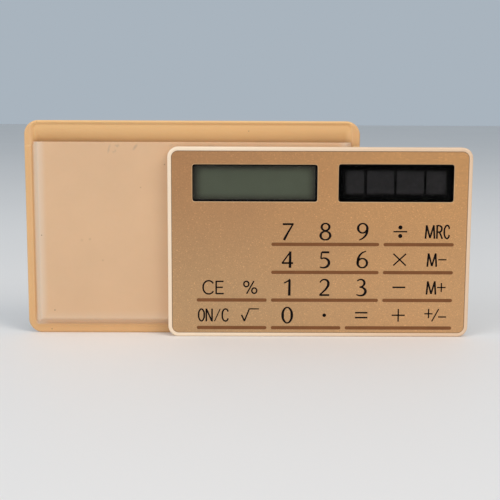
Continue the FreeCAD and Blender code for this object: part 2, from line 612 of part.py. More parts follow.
def make_case_panel(label, side):
    """One vinyl sheet: flat weld border and a formed hollow for half the calculator."""
    body = new_body(label)
    outline = new_sketch(body, "0", f"{CASE_HEIGHT} / 2", "0")
    draw_rounded_rectangle(outline, CASE_WIDTH, CASE_HEIGHT, "Sheet.case_corner")
    pad(body, outline, "Sheet.case_sheet", downwards=side < 0)
    loft(body, "Additive", side, "Sheet.case_sheet")
    loft(body, "Subtractive", side, "0")
    return body


def make_case():
    """Back panel, and front panel cut off at the mouth."""
    beside = "Sheet.case_offset"
    behind = f"Sheet.card_thickness / 2 + Sheet.case_gap + {CASE_DEPTH} + Sheet.case_sheet"
    stand_up(make_case_panel("case_back_panel", -1), beside, behind)
    front = make_case_panel("case_front_panel", 1)
    above = new_sketch(front, "0", f"{CASE_MOUTH} + {CASE_HEIGHT} / 2", "0")
    draw_rounded_rectangle(above, f"{CASE_WIDTH} + 2 * Sheet.case_corner", CASE_HEIGHT,
                           "Sheet.case_sheet / 2")
    pocket(front, above, f"{CASE_DEPTH} + 2 * Sheet.case_sheet")
    stand_up(front, beside, behind)


def check_document():
    """Stop at the first object that failed, and at a piece with no sound shape."""
    for item in doc.Objects:
        if {"Invalid", "Error"} & set(item.State):
            raise RuntimeError(f"{item.Name} failed: {item.State}")
    for piece in sub_parts:
        if piece.Shape.isNull() or not piece.Shape.isValid():
            raise RuntimeError(f"{piece.Label} has no sound shape")


make_frame()
make_back_cover()
make_board()
make_key_contacts()
make_key_guide()
make_chips()
make_display()
make_solar()
make_face()
make_bars()
make_keys()
make_case()
doc.recompute()
check_document()

os.makedirs("parts", exist_ok=True)
for piece in sub_parts:
    piece.Shape.exportStep(os.path.join("parts", piece.Label + ".step"))
    box = piece.Shape.optimalBoundingBox()
    print(f"{piece.Label}: {len(piece.Shape.Solids)} solids, {piece.Shape.Volume:.2f} mm3, "
          f"x {box.XMin:.2f} {box.XMax:.2f}, y {box.YMin:.2f} {box.YMax:.2f}, "
          f"z {box.ZMin:.2f} {box.ZMax:.2f}")
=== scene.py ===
import math

import bmesh
import bpy
from mathutils import Matrix, Vector


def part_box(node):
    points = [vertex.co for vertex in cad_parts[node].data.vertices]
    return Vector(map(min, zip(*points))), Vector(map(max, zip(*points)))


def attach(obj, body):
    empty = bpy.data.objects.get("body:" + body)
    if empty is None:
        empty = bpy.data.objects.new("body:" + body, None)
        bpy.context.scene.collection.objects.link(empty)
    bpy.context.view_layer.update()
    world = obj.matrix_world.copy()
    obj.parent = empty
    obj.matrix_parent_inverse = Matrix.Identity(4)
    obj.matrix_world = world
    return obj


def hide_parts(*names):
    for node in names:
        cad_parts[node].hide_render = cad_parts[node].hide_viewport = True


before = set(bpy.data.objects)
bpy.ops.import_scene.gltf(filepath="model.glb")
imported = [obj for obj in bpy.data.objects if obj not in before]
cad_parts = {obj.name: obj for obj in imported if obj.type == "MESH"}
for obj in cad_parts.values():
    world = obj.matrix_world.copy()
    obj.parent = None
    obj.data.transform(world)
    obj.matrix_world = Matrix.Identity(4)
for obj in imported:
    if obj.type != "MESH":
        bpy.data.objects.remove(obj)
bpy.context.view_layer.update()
mm = 0.001
print("frame loaded")


# helpers that every piece uses; meshes are drawn in millimetres

def nodeBox(node):
    low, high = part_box(node)
    return low / mm, high / mm


def outline(low, high, grow=0.0):
    # centre and size along X and Z of a box, wider and higher by grow
    centre = ((low.x + high.x) / 2, (low.z + high.z) / 2)
    return centre, (high.x - low.x + grow, high.z - low.z + grow)


def linked(name, data):
    item = bpy.data.objects.new(name, data)
    bpy.context.scene.collection.objects.link(item)
    return item


def meshData(mesh, name, materials):
    data = bpy.data.meshes.new(name)
    mesh.to_mesh(data)
    mesh.free()
    for material in materials:
        data.materials.append(material)
    return data


def finishPiece(mesh, name, body, materials, nodes=()):
    # bmesh in millimetres to an object that rides on a body
    bmesh.ops.scale(mesh, vec=(mm, mm, mm), verts=mesh.verts)
    piece = linked(name, meshData(mesh, name, materials))
    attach(piece, body)
    if nodes:
        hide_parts(*nodes)


def standingAt(x, y, z):
    # turns what is drawn flat upright, to face the viewer at this place
    return Matrix.Translation((x, y, z)) @ Matrix.Rotation(math.pi / 2, 4, "X")


def roundedFace(mesh, centre, size, radius, depth, segments=8):
    # upright rounded rectangle; centre and size along X and Z
    place = standingAt(centre[0], depth, centre[1]) @ Matrix.Diagonal((size[0], size[1], 1, 1))
    before = set(mesh.faces)
    grid = bmesh.ops.create_grid(mesh, x_segments=1, y_segments=1, size=0.5, matrix=place)
    bmesh.ops.bevel(mesh, geom=grid["verts"], offset=radius, segments=segments, profile=0.5,
                    affect="VERTICES", material=-1)
    return next(face for face in mesh.faces if face not in before)


def extrudeFaces(mesh, faces):
    # returns the new points and the new faces, which still lie on the old ones
    grown = bmesh.ops.extrude_face_region(mesh, geom=list(faces))["geom"]
    return ([item for item in grown if isinstance(item, bmesh.types.BMVert)],
            [item for item in grown if isinstance(item, bmesh.types.BMFace)])


def pushFaces(mesh, faces, distance):
    # extrude faces along Y and return the new ones
    verts, made = extrudeFaces(mesh, faces)
    bmesh.ops.translate(mesh, verts=verts, vec=(0, distance, 0))
    return made


def bevelEdges(mesh, edges, offset, segments):
    return bmesh.ops.bevel(mesh, geom=edges, offset=offset, segments=segments, profile=0.5,
                           affect="EDGES", material=-1)["faces"]


def turnOutwards(mesh):
    bmesh.ops.recalc_face_normals(mesh, faces=list(mesh.faces))


def edgesAt(mesh, depth, tolerance=1e-4):
    return [edge for edge in mesh.edges
            if all(abs(vert.co.y - depth) < tolerance for vert in edge.verts)]


def smoothStep(value):
    value = min(max(value, 0.0), 1.0)
    return value * value * (3 - 2 * value)


def insideDistance(x, z, left, right, bottom, top, radius):
    # how far a point lies inside a rounded rectangle; negative outside
    halfX, halfZ = (right - left) / 2, (top - bottom) / 2
    dx = abs(x - (left + right) / 2) - (halfX - radius)
    dz = abs(z - (bottom + top) / 2) - (halfZ - radius)
    outside = math.hypot(max(dx, 0), max(dz, 0)) + min(max(dx, dz), 0)
    return radius - outside


def smoothFaces(mesh, flatNormal=0.999):
    # round stretches shade smoothly, faces square to the view stay flat
    for face in mesh.faces:
        face.smooth = abs(face.normal.y) < flatNormal


# material building blocks

noiseSpread = (0.3, 0.7)  # nearly all values of a noise lie between these


def shaded(colour, share):
    return tuple(part * share for part in colour)


class Paint:
    # a principled material and short calls for its nodes

    def __init__(self, name, colour, roughness, **sockets):
        self.material = bpy.data.materials.new(name)
        self.material.use_nodes = True
        self.nodes = self.material.node_tree.nodes
        self.links = self.material.node_tree.links
        self.shader = self.nodes["Principled BSDF"]
        self.shader.inputs["Base Color"].default_value = (*colour, 1)
        self.shader.inputs["Roughness"].default_value = roughness
        for socket, value in sockets.items():
            self.shader.inputs[socket.replace("_", " ")].default_value = value
        self.place = self.nodes.new("ShaderNodeTexCoord").outputs["Object"]

    def stretched(self, scale):
        node = self.nodes.new("ShaderNodeMapping")
        node.inputs["Scale"].default_value = scale
        self.links.new(self.place, node.inputs["Vector"])
        return node.outputs["Vector"]

    def noise(self, scale, detail=2.0, rough=0.5, where=None):
        node = self.nodes.new("ShaderNodeTexNoise")
        node.inputs["Scale"].default_value = scale
        node.inputs["Detail"].default_value = detail
        node.inputs["Roughness"].default_value = rough
        self.links.new(where or self.place, node.inputs["Vector"])
        return node.outputs["Fac"]

    def ramp(self, value, low, high, start=0.0, end=1.0):
        # maps low..high to start..end, clamped and smooth
        node = self.nodes.new("ShaderNodeMapRange")
        node.interpolation_type = "SMOOTHSTEP"
        self.links.new(value, node.inputs["Value"])
        node.inputs["From Min"].default_value = low
        node.inputs["From Max"].default_value = high
        node.inputs["To Min"].default_value = start
        node.inputs["To Max"].default_value = end
        return node.outputs["Result"]

    def cloud(self, scale, start=0.0, end=1.0, detail=3.0):
        # soft noise that spreads from start to end
        return self.ramp(self.noise(scale, detail), *noiseSpread, start, end)

    def math(self, operation, first, second):
        node = self.nodes.new("ShaderNodeMath")
        node.operation = operation
        for socket, value in zip(node.inputs, (first, second)):
            if isinstance(value, (int, float)):
                socket.default_value = value
            else:
                self.links.new(value, socket)
        return node.outputs["Value"]

    def times(self, first, second):
        return self.math("MULTIPLY", first, second)

    def band(self, value, low, high, outward, inward):
        # one between low and high; both ends fade from outward of them to inward of them
        return self.times(self.ramp(value, low - outward, low + inward),
                          self.ramp(value, high + outward, high - inward))

    def mix(self, factor, first, second):
        # colour mix; each side is a colour or a socket
        node = self.nodes.new("ShaderNodeMix")
        node.data_type = "RGBA"
        factorIn, firstIn, secondIn = node.inputs[0], node.inputs[6], node.inputs[7]
        self.links.new(factor, factorIn)
        for socket, value in ((firstIn, first), (secondIn, second)):
            if isinstance(value, (tuple, list)):
                socket.default_value = (*value[:3], 1)
            else:
                self.links.new(value, socket)
        return node.outputs[2]

    def colour(self, value):
        self.links.new(value, self.shader.inputs["Base Color"])

    def roughness(self, value):
        self.links.new(value, self.shader.inputs["Roughness"])

    def bump(self, height, strength, distance):
        node = self.nodes.new("ShaderNodeBump")
        node.inputs["Strength"].default_value = strength
        node.inputs["Distance"].default_value = distance
        self.links.new(height, node.inputs["Height"])
        self.links.new(node.outputs["Normal"], self.shader.inputs["Normal"])

    def grain(self, scale, strength, height, detail=2.0):
        # fine bumps, their height in metres
        self.bump(self.noise(scale, detail), strength, height)

    def axes(self):
        node = self.nodes.new("ShaderNodeSeparateXYZ")
        self.links.new(self.place, node.inputs["Vector"])
        return node.outputs["X"], node.outputs["Y"], node.outputs["Z"]


# camera at the photograph's viewing angle

cameraSettings = {
    "focalPixels": 1014.75,  # for an image 500 pixels wide
    "imagePixels": 500,
    "pitchDown": 8.170,  # degrees
    "roll": 0.237,
    "yaw": 0.430,
    "place": (-21.69, -285.24, 65.74),
    "sensorWidth": 36,  # only its ratio to the focal length counts
    "clipStart": 0.01,
}


def makeCamera(settings):
    pitch, roll, yaw = (math.radians(settings[name]) for name in ("pitchDown", "roll", "yaw"))
    ahead = math.cos(pitch)
    forward = Vector((math.sin(yaw) * ahead, math.cos(yaw) * ahead, -math.sin(pitch)))
    level = Vector((math.cos(yaw), -math.sin(yaw), 0))
    upright = level.cross(forward)
    right = math.cos(roll) * level + math.sin(roll) * upright
    up = math.cos(roll) * upright - math.sin(roll) * level
    data = bpy.data.cameras.new("camera")
    data.sensor_width = settings["sensorWidth"]
    data.lens = data.sensor_width * settings["focalPixels"] / settings["imagePixels"]
    data.clip_start = settings["clipStart"]
    camera = linked("camera", data)
    turn = Matrix((right, up, -forward)).transposed().to_4x4()
    camera.matrix_world = Matrix.Translation(Vector(settings["place"]) * mm) @ turn
    bpy.context.scene.camera = camera


makeCamera(cameraSettings)
print("camera placed")


# plain floor and soft studio light

studio = {
    "floorSize": 6.0,
    "floorColour": (0.865, 0.825, 0.790),
    "floorRoughness": 0.6,
    "floorCloud": 6.0,
    "floorDeeper": 0.985,
    "skyColour": (0.66, 0.76, 0.86),
    "skyStrength": 0.60,
    "viewTransform": "Standard",
    # place and target in metres, size in metres, power in watts
    "lamps": [
        ("keyLight", (0.55, -0.55, 0.70), (0, 0, 0.03), 0.55, 3.55, (1.0, 0.92, 0.84)),
        ("fillLight", (-0.75, -0.60, 0.45), (0, 0, 0.03), 0.80, 3.95, (0.90, 0.95, 1.0)),
        ("topLight", (0.05, -0.25, 0.95), (0, 0, 0.02), 0.60, 1.5, (1.0, 0.98, 0.95)),
    ],
}


def makeStudio(settings):
    colour = settings["floorColour"]
    paint = Paint("floorPaint", colour, settings["floorRoughness"])
    tone = paint.cloud(settings["floorCloud"])
    paint.colour(paint.mix(tone, colour, shaded(colour, settings["floorDeeper"])))
    mesh = bmesh.new()
    bmesh.ops.create_grid(mesh, x_segments=2, y_segments=2, size=settings["floorSize"] / 2)
    floor = linked("floor", meshData(mesh, "floor", [paint.material]))
    world = bpy.data.worlds.new("studio")
    bpy.context.scene.world = world
    world.use_nodes = True
    sky = world.node_tree.nodes["Background"]
    sky.inputs["Color"].default_value = (*settings["skyColour"], 1)
    sky.inputs["Strength"].default_value = settings["skyStrength"]
    bpy.context.scene.view_settings.view_transform = settings["viewTransform"]
    for name, place, target, size, power, tint in settings["lamps"]:
        data = bpy.data.lights.new(name, "AREA")
        data.shape = "DISK"
        data.size = size
        data.energy = power
        data.color = tint
        lamp = linked(name, data)
        turn = (Vector(target) - Vector(place)).to_track_quat("-Z", "Y")
        lamp.matrix_world = Matrix.Translation(place) @ turn.to_matrix().to_4x4()


makeStudio(studio)
print("studio lit")


# places read from the frame

faceLow, faceHigh = nodeBox("face_film")
frameLow, frameHigh = nodeBox("frame")
displayLow, displayHigh = nodeBox("display_lens")
solarLow, solarHigh = nodeBox("solar_lens")
panelLow, panelHigh = nodeBox("case_front_panel")
backLow, backHigh = nodeBox("case_back_panel")
filmFront, filmBack = faceLow.y, faceHigh.y
lensOverlap = 0.7  # lens past its window on each side
cutSide = 0.10  # the cuts in the film reach this much further out
solarCutLeft = 0.30
displayCutTop, solarCutTop = 0.25, 0.42
displayWindow = (displayLow.x + lensOverlap - cutSide, displayHigh.x - lensOverlap + cutSide,
                 displayLow.z + lensOverlap, displayHigh.z - lensOverlap + displayCutTop)
solarWindow = (solarLow.x + lensOverlap - solarCutLeft, solarHigh.x - lensOverlap + cutSide,
               solarLow.z + lensOverlap, solarHigh.z - lensOverlap + solarCutTop)


# gold printed face

goldFace = {
    # the corner colours paint light: the face is darker at the top left and lighter towards the right and the
    # bottom, as painted reflection of the light
    "topLeft": (0.447, 0.218, 0.088),
    "topRight": (0.590, 0.296, 0.110),
    "lowLeft": (0.515, 0.308, 0.147),
    "lowRight": (0.600, 0.328, 0.143),
    "cloudScale": 60.0,
    "cloudDepth": 0.12,
    "grainSize": 0.26,  # millimetres
    "grainDepth": 0.07,
    "grainSpread": (0.35, 0.65),
    "grainBump": (0.25, 0.00003),  # strength, and height in metres
    # painted glints: lighter flecks in the colour of the face
    "glintCoarser": 0.8,
    "glintSpread": (0.60, 0.76),
    "paintedGlint": 0.34,
    "glossChange": 0.14,
    "metallic": 0.35,
    "roughness": 0.42,
}


def makeGoldPaint(settings):
    paint = Paint("goldFilm", settings["lowRight"], settings["roughness"], Metallic=settings["metallic"])
    x, _, z = paint.axes()
    across = paint.ramp(x, faceLow.x * mm, faceHigh.x * mm)
    down = paint.ramp(z, faceHigh.z * mm, faceLow.z * mm)
    cloud = paint.cloud(settings["cloudScale"], -settings["cloudDepth"], settings["cloudDepth"])
    # painted light: the colour runs from darker at the top left to lighter at the right and the bottom
    tone = paint.math("ADD", across, cloud)
    base = paint.mix(down, paint.mix(tone, settings["topLeft"], settings["topRight"]),
                     paint.mix(tone, settings["lowLeft"], settings["lowRight"]))
    grain = paint.noise(1 / (settings["grainSize"] * mm), 2.0, 0.6)
    grainTone = paint.ramp(grain, *settings["grainSpread"], 1 - settings["grainDepth"],
                           1 + settings["grainDepth"])
    # lighter flecks are painted into the colour as painted glints
    glintNoise = paint.noise(settings["glintCoarser"] / (settings["grainSize"] * mm), 1.0, 0.4)
    paintedGlint = paint.ramp(glintNoise, *settings["glintSpread"], 0.0, settings["paintedGlint"])
    grainTone = paint.math("ADD", grainTone, paintedGlint)
    shade = paint.nodes.new("ShaderNodeVectorMath")
    shade.operation = "SCALE"
    paint.links.new(base, shade.inputs["Vector"])
    paint.links.new(grainTone, shade.inputs["Scale"])
    paint.colour(shade.outputs["Vector"])
    paint.roughness(paint.ramp(grain, *noiseSpread, settings["roughness"] - settings["glossChange"],
                               settings["roughness"] + settings["glossChange"]))
    paint.bump(grain, *settings["grainBump"])
    return paint.material


goldPaint = makeGoldPaint(goldFace)

rubberSettings = {
    "colour": (0.05, 0.05, 0.05),
    "roughness": 0.75,
    "grain": (3000.0, 0.2, 0.00002),
}


def makeRubberPaint(settings):
    paint = Paint("keyRubber", settings["colour"], settings["roughness"])
    paint.grain(*settings["grain"])
    return paint.material


rubberPaint = makeRubberPaint(rubberSettings)

# the face is one continuous sheet; each touch zone of it rides on its own key

faceSheet = {
    "cornerRadius": 1.8,
    "cornerSteps": 10,
    "growth": 0.13,  # fills the hair gap to the rim
    "windowRadius": 0.7,
    "zoneRadius": 1.06,
    "zoneSteps": 6,
    "zoneGrowth": 0.075,  # the zone reaches this far into the slit round it
    "zoneSlit": 0.004,
    "windowBevel": 0.16,
    "outerBevel": 0.15,
    "bevelSteps": 2,
    "outlineReach": 0.05,  # an edge this near the outline belongs to it
    # the bevel round the windows is painted paler: a painted highlight on the cut edge
    "cutHighlightColour": (0.690, 0.430, 0.215),
    # the outer bevel is painted dark: a painted shadow line in the gap to the rim
    "shadowColour": (0.300, 0.165, 0.075),
    "edgeRoughness": 0.45,
    "edgeWear": 0.85,
    "edgeWearScale": 700.0,
    "pillRadius": 1.5,  # rubber pill under the zone
    "pillSides": 24,
}
keyNodes = sorted(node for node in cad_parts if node.startswith("key_")
                  and node not in ("key_contacts", "key_guide", "key_deck", "key_row_bars"))


def makeEdgePaint(name, colour, settings):
    paint = Paint(name, colour, settings["edgeRoughness"])
    worn = paint.cloud(settings["edgeWearScale"])
    paint.colour(paint.mix(worn, colour, shaded(colour, settings["edgeWear"])))
    return paint.material


def makeFaceSheet(settings):
    mesh = bmesh.new()
    centre, size = outline(faceLow, faceHigh, 2 * settings["growth"])
    roundedFace(mesh, centre, size, settings["cornerRadius"], filmFront, settings["cornerSteps"])
    for left, right, bottom, top in (displayWindow, solarWindow):
        roundedFace(mesh, ((left + right) / 2, (bottom + top) / 2), (right - left, top - bottom),
                    settings["windowRadius"], filmFront)
    grow = 2 * (settings["zoneGrowth"] + settings["zoneSlit"])
    for node in keyNodes:
        centre, size = outline(*nodeBox(node), grow)
        roundedFace(mesh, centre, size, settings["zoneRadius"], filmFront, settings["zoneSteps"])
    bmesh.ops.delete(mesh, geom=list(mesh.faces), context="FACES_ONLY")
    bmesh.ops.triangle_fill(mesh, use_beauty=True, use_dissolve=False, edges=list(mesh.edges),
                            normal=(0, -1, 0))
    pushFaces(mesh, mesh.faces, filmBack - filmFront)
    turnOutwards(mesh)
    windows, outside = [], []
    facing = 0.5
    for edge in edgesAt(mesh, filmFront):
        middle = (edge.verts[0].co + edge.verts[1].co) / 2
        # an edge between two faces of the front is no outline
        if all(abs(face.normal.y) > facing for face in edge.link_faces):
            continue
        if displayLow.z < middle.z < displayHigh.z and displayLow.x < middle.x < solarHigh.x:
            windows.append(edge)
        elif insideDistance(middle.x, middle.z, faceLow.x, faceHigh.x, faceLow.z, faceHigh.z,
                            settings["cornerRadius"]) < settings["outlineReach"]:
            outside.append(edge)
    # the window bevels get a painted highlight, the outer bevel a painted shadow line against the rim
    for edges, width, slot in ((windows, settings["windowBevel"], 1), (outside, settings["outerBevel"], 2)):
        for face in bevelEdges(mesh, edges, width, settings["bevelSteps"]):
            face.material_index = slot
    smoothFaces(mesh)
    cutHighlightPaint = makeEdgePaint("filmCutHighlight", settings["cutHighlightColour"], settings)
    shadowPaint = makeEdgePaint("filmOuterShadow", settings["shadowColour"], settings)
    finishPiece(mesh, "faceSheet", "calculator", [goldPaint, cutHighlightPaint, shadowPaint],
                ["face_film"])


def makeKey(node, settings):
    low, high = nodeBox(node)
    centre, size = outline(low, high, 2 * settings["zoneGrowth"])
    mesh = bmesh.new()
    zone = roundedFace(mesh, centre, size, settings["zoneRadius"], filmFront, settings["zoneSteps"])
    pushFaces(mesh, [zone], filmBack - filmFront)
    turnOutwards(mesh)
    before = set(mesh.faces)
    radius = settings["pillRadius"]
    bmesh.ops.create_cone(mesh, cap_ends=True, segments=settings["pillSides"], radius1=radius, radius2=radius,
                          depth=high.y - filmBack,
                          matrix=standingAt(centre[0], (filmBack + high.y) / 2, centre[1]))
    for face in mesh.faces:
        if face not in before:
            face.material_index = 1
    smoothFaces(mesh)
    finishPiece(mesh, "touch_" + node, node + "_body", [goldPaint, rubberPaint], [node])


makeFaceSheet(faceSheet)
for node in keyNodes:
    makeKey(node, faceSheet)
print("face and keys made")


# printed legends: pen strokes in tenths of a millimetre about the key's middle
# a stroke is a list of (across, up, half width of the pen)

legendInk = {
    "colour": (0.004, 0.003, 0.003),
    "roughness": 0.6,
    "gloss": 0.05,
    "spread": 1.34,  # ink is wider than the pen that drew it
    "above": 0.006,  # millimetres in front of the face
    "thickness": 0.008,
    "bendSteps": 6,
    "weld": 1e-5,
    "wearScale": 2500.0,
    "worn": 1.9,
    "grain": (4000.0, 0.15, 0.00001),
}


def line(ax, az, bx, bz, width, endWidth=None):
    return {"points": [(ax, az, width), (bx, bz, endWidth or width)]}


def curve(*points):
    return {"points": list(points)}


def ring(cx, cz, rx, rz, side, top):
    # closed oval, heavier at its sides
    points = []
    for step in range(8):
        angle = step * math.pi / 4
        heavy = math.cos(angle) ** 2
        points.append((cx + rx * math.cos(angle), cz + rz * math.sin(angle), top + (side - top) * heavy))
    return {"points": points, "closed": True}


def shifted(strokes, across):
    return [dict(stroke, points=[(x + across, z, width) for x, z, width in stroke["points"]])
            for stroke in strokes]


letterM = [line(-12.7, -19.5, -10, 19, 1.9), line(-10, 19, 0, -17.5, 1.8),
           line(0, -17.5, 9.9, 19, 1.8), line(9.9, 19, 12.7, -19.5, 1.9)]
letterR = [line(-7.5, -19.5, -7.5, 19.5, 1.9), line(-7.5, 18, -1, 18, 1.7),
           curve((-1, 18, 1.7), (4.6, 14, 1.9), (5.6, 8.5, 1.9), (4, 2.5, 1.9), (-1, -0.5, 1.7)),
           line(-1, -0.5, -7.5, -0.5, 1.7), line(-0.5, -0.5, 7.8, -19.5, 1.8)]
letterC = [curve((7.2, 8.5, 1.7), (5, 16, 1.7), (0.6, 18.6, 1.7), (-4.9, 13, 1.8), (-7, 0, 1.9),
                 (-4.9, -13, 1.8), (0.6, -18.6, 1.7), (5, -16, 1.7), (7.2, -8.5, 1.7))]
legends = {
    "key_0": [ring(0, 0, 13, 22.5, 2.9, 1.5)],
    "key_1": [curve((-10.2, 12.7, 1.2), (1, 18.5, 1.6), (7.5, 23.6, 1.6)),
              line(5.7, 23, 5.2, -23.5, 2.5, 2.8)],
    "key_2": [curve((-13.6, 14.4, 1.3), (-9, 20.4, 1.5), (-0.5, 23.2, 1.8), (8, 19, 2.4),
                    (10.3, 9, 2.8), (5.5, -1.5, 2.3), (-4, -12, 1.8), (-14, -21, 1.5)),
              line(-15, -21.6, 13.6, -21.6, 2.0)],
    "key_3": [curve((-13.6, 19.5, 1.3), (-5, 23.4, 1.6), (4, 20.8, 2.2), (7.2, 13.5, 2.6),
                    (3, 5, 2.0), (-6.5, 1.5, 1.4)),
              curve((-6.5, 1.5, 1.4), (3.5, -0.5, 2.0), (10.6, -9.5, 2.9), (7.5, -18.5, 2.6),
                    (-2.4, -22.8, 1.8), (-15.5, -20.2, 1.3))],
    "key_4": [line(8.0, 23, -16, -10.5, 1.5), line(-16.6, -10, 15.3, -10, 2.0),
              line(7.1, 23.4, 6.5, -23.6, 2.5, 2.8)],
    "key_5": [line(-9.5, 21.2, 12, 21.2, 2.2), line(-10, 21.5, -11.8, 3, 1.6),
              curve((-11.6, 2.8, 1.4), (-2.5, 4.6, 1.7), (7.5, 0, 2.4), (11.2, -9.5, 2.9),
                    (6, -19, 2.5), (-4.5, -23, 1.7), (-14.6, -21.2, 1.3))],
    "key_6": [curve((10, 24.6, 1.2), (-2.5, 18.5, 1.8), (-11, 6, 2.5), (-13.2, -9, 2.8)),
              ring(0, -9.6, 13.2, 13, 2.7, 1.5)],
    "key_7": [line(-15, 20.8, 15.6, 20.8, 2.1),
              curve((14.2, 21.5, 1.5), (4.5, 4.5, 1.9), (-4, -10.5, 2.3), (-11.2, -24.5, 2.6))],
    "key_8": [ring(0, 13, 10.8, 10, 2.6, 1.5), ring(0, -11.3, 13.6, 12, 2.8, 1.5)],
    "key_9": [ring(-0.7, 9.8, 13, 13.2, 2.7, 1.5),
              curve((12.3, 10, 2.7), (10.5, -5.5, 2.5), (2.5, -16.5, 1.9), (-10, -24, 1.2))],
    "key_decimal": [ring(0, 0, 2.2, 2.2, 2.2, 2.2)],
    "key_equals": [line(-17.7, 7.6, 17.7, 7.6, 1.7), line(-17.7, -6.6, 17.7, -6.6, 1.7)],
    "key_plus": [line(-18.6, 0.5, 18.6, 0.5, 1.5), line(0, 18.7, 0, -18, 1.5)],
    "key_minus": [line(-18.3, 1.2, 18.3, 1.2, 1.7)],
    "key_multiply": [line(-18, 17.6, 18, -16.2, 1.5), line(18, 17.6, -18, -16.2, 1.5)],
    "key_divide": [line(-19.4, 0.4, 19.4, 0.4, 1.5), ring(0, 12.4, 2.5, 2.5, 2.5, 2.5),
                   ring(0, -11.8, 2.5, 2.5, 2.5, 2.5)],
    "key_memory_recall": shifted(letterM, -21.4) + shifted(letterR, 5.7) + shifted(letterC, 25.6),
    "key_memory_minus": shifted(letterM, -13.9) + [line(4, 0.8, 27, 0.8, 1.4)],
    "key_memory_plus": shifted(letterM, -13.9)
                       + [line(2.7, 1.2, 27.2, 1.2, 1.4), line(15, 14.2, 15, -11.9, 1.4)],
    "key_sign_change": [line(-31.3, 5, -7.5, 5, 1.4), line(-19.2, 19.3, -19.2, -8, 1.4),
                        line(9.5, 19, -9.5, -17.3, 1.3), line(8, -4.2, 31.3, -4.2, 1.4)],
    "key_percent": [ring(-11.3, 9.6, 7, 7.8, 1.6, 1.6), ring(11.3, -9.4, 7, 7.8, 1.6, 1.6),
                    line(10.4, 18.5, -10.4, -18.5, 1.5)],
    "key_clear_entry": [curve((0.8, 11, 1.6), (-4.8, 16.7, 1.6), (-14, 18.8, 1.6), (-24, 13, 1.7),
                              (-28.2, 0, 1.8), (-24, -13.6, 1.7), (-14, -19.2, 1.6), (-4.8, -17, 1.6),
                              (0.8, -11.4, 1.6)),
                        line(8.8, 18.4, 8.8, -19.6, 1.7), line(8.8, 17, 30, 17, 1.6),
                        line(8.8, 0, 27.7, 0, 1.6), line(8.8, -18.2, 30.4, -18.2, 1.6)],
    "key_square_root": [line(-24.5, 0.6, -16.3, -17.6, 1.7), line(-16.6, -17.6, -2.3, 18.6, 1.5),
                        line(-2.9, 18, 24.7, 18, 1.3)],
    "key_on_clear": [ring(-33.3, 0, 8, 17.2, 1.8, 1.6), line(-19.4, -18.8, -19.4, 18.4, 1.7),
                     line(-19.2, 18, -3.6, -18.4, 1.7), line(-3, 18.6, -3, -18.8, 1.7),
                     line(20.2, 18, 3.7, -18.5, 1.1),
                     curve((42.8, 9.7, 1.6), (40, 15.6, 1.6), (34.6, 17.5, 1.6), (28.6, 12.5, 1.7),
                           (26.2, 0, 1.8), (28.6, -12.9, 1.7), (34.6, -17.5, 1.6), (40, -15.6, 1.6),
                           (42.8, -9.7, 1.6))],
}


def makeInkPaint(settings):
    paint = Paint("legendInk", settings["colour"], settings["roughness"],
                  Specular_IOR_Level=settings["gloss"])
    wear = paint.cloud(settings["wearScale"], detail=2.0)
    paint.colour(paint.mix(wear, settings["colour"], shaded(settings["colour"], settings["worn"])))
    paint.grain(*settings["grain"])
    return paint.material


inkPaint = makeInkPaint(legendInk)


def penRibbon(stroke, settings):
    # flat ribbon mesh of one stroke, as wide as the pen at every point
    tenth = 0.1
    data = bpy.data.curves.new("stroke", "CURVE")
    data.dimensions = "3D"
    data.twist_mode = "Z_UP"
    data.extrude = tenth * settings["spread"]
    data.resolution_u = settings["bendSteps"]
    points = stroke["points"]
    spline = data.splines.new("BEZIER")
    spline.bezier_points.add(len(points) - 1)
    spline.use_cyclic_u = stroke.get("closed", False)
    for bend, (x, z, width) in zip(spline.bezier_points, points):
        bend.co = (x * tenth, z * tenth, 0)
        bend.radius = width
        bend.tilt = math.pi / 2
        bend.handle_left_type = bend.handle_right_type = "AUTO"
    holder = linked("stroke", data)
    bpy.context.view_layer.update()
    ribbon = bpy.data.meshes.new_from_object(holder.evaluated_get(bpy.context.evaluated_depsgraph_get()))
    bpy.data.objects.remove(holder)
    bpy.data.curves.remove(data)
    return ribbon


def makeLegend(node, strokes, settings):
    (x, z), _ = outline(*nodeBox(node))
    mesh = bmesh.new()
    for stroke in strokes:
        ribbon = penRibbon(stroke, settings)
        mesh.from_mesh(ribbon)
        bpy.data.meshes.remove(ribbon)
    bmesh.ops.remove_doubles(mesh, verts=mesh.verts, dist=settings["weld"])
    bmesh.ops.rotate(mesh, verts=mesh.verts, matrix=Matrix.Rotation(math.pi / 2, 3, "X"))
    bmesh.ops.translate(mesh, verts=mesh.verts, vec=(x, filmFront - settings["above"], z))
    pushFaces(mesh, mesh.faces, settings["thickness"])
    turnOutwards(mesh)
    finishPiece(mesh, "legend_" + node, node + "_body", [inkPaint])


for node, strokes in legends.items():
    makeLegend(node, strokes, legendInk)
print("legends printed")


# cream moulded rim

creamRim = {
    "cornerRadius": 3.0,
    "cornerSteps": 12,
    "rimWidth": 1.1,
    "outerRound": 0.5,
    "outerSteps": 6,
    "innerRound": 0.14,
    "innerSteps": 3,
    "recess": 0.85,  # down to the shelf behind the front sheets
    "backRecess": 0.5,
    "ledge": 1.0,
    "litLeftColour": (0.930, 0.735, 0.535),  # painted light and shade: paler at the left, darker and browner at the right, as the light falls
    "shadedRightColour": (0.800, 0.560, 0.370),
    "aged": 0.10,
    "ageScale": 45.0,
    "ageSpread": (0.35, 0.75),
    "roughness": 0.35,
    "glossChange": 0.07,
    "glossScale": 300.0,
    "grain": (2200.0, 0.12, 0.00002),
}


